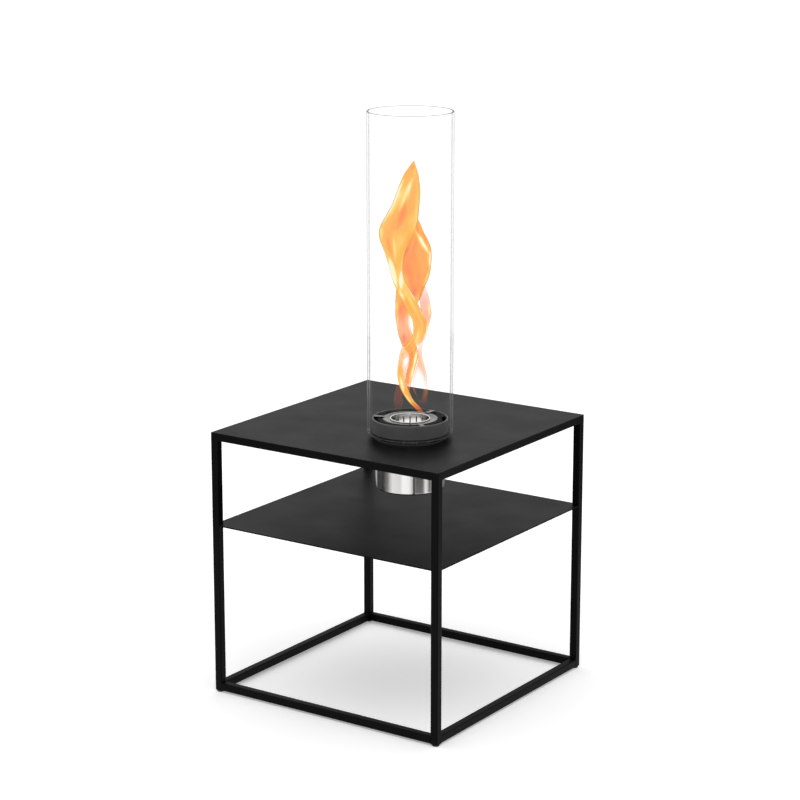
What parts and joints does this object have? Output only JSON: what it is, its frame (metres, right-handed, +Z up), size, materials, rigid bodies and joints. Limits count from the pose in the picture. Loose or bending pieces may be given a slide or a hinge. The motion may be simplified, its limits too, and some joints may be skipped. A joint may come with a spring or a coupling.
{
  "type": "fire pit table",
  "caption": "Square steel-tube side table with a sheet shelf and a swirl-flame burner under a tall open glass cylinder.",
  "frame": {"origin": "on the floor, under the middle of the square frame", "axes": "+Z up; -Y is the front side, the left of the two sides that the picture shows; the burner stands towards the front right corner (+X, -Y)"},
  "size_m": [0.4, 0.4, 0.8779],
  "materials": {
    "powder_coated_steel": "matt black powder coat, fine texture",
    "black_nylon": "moulded nylon",
    "brushed_stainless": "brushed round the axis",
    "black_burner_casting": "cast, matt black heat-proof coat",
    "black_silicone": "soft matt",
    "tinplate": "bright tinplate",
    "ceramic_wool": "felted ceramic fibre",
    "clear_glass": "clear borosilicate, fire-polished edges"
  },
  "bodies": {
    "table": {"leg_front_right": "powder_coated_steel", "leg_back_right": "powder_coated_steel", "leg_back_left": "powder_coated_steel", "leg_front_left": "powder_coated_steel", "top_rail_front": "powder_coated_steel", "top_rail_right": "powder_coated_steel", "top_rail_back": "powder_coated_steel", "top_rail_left": "powder_coated_steel", "bottom_rail_front": "powder_coated_steel", "bottom_rail_right": "powder_coated_steel", "bottom_rail_back": "powder_coated_steel", "bottom_rail_left": "powder_coated_steel", "top_plate": "powder_coated_steel", "shelf_plate": "powder_coated_steel", "foot_glide_front_right": "black_nylon", "foot_glide_back_right": "black_nylon", "foot_glide_back_left": "black_nylon", "foot_glide_front_left": "black_nylon"},
    "insert": {"burner_sleeve": "brushed_stainless", "air_collar": "black_burner_casting"},
    "can": {"fuel_can": "tinplate", "absorbent_wool": "ceramic_wool"},
    "head": {"swirl_ring": "black_burner_casting", "glass_seal": "black_silicone", "funnel_plate": "brushed_stainless", "burner_cup": "brushed_stainless", "funnel_clip_1": "brushed_stainless", "funnel_clip_2": "brushed_stainless", "funnel_clip_3": "brushed_stainless"},
    "glass": {"glass_cylinder": "clear_glass"}
  },
  "joints": [
    {"name": "insert_lift", "type": "slide", "parent": "table", "child": "insert", "axis": [0, 0, 1], "range_m": [0, 0.09]},
    {"name": "can_lift", "type": "slide", "parent": "insert", "child": "can", "axis": [0, 0, 1], "range_m": [0, 0.09]},
    {"name": "head_lift", "type": "slide", "parent": "can", "child": "head", "axis": [0, 0, 1], "range_m": [0, 0.04]},
    {"name": "glass_lift", "type": "slide", "parent": "head", "child": "glass", "axis": [0, 0, 1], "range_m": [0, 0.05]}
  ]
}
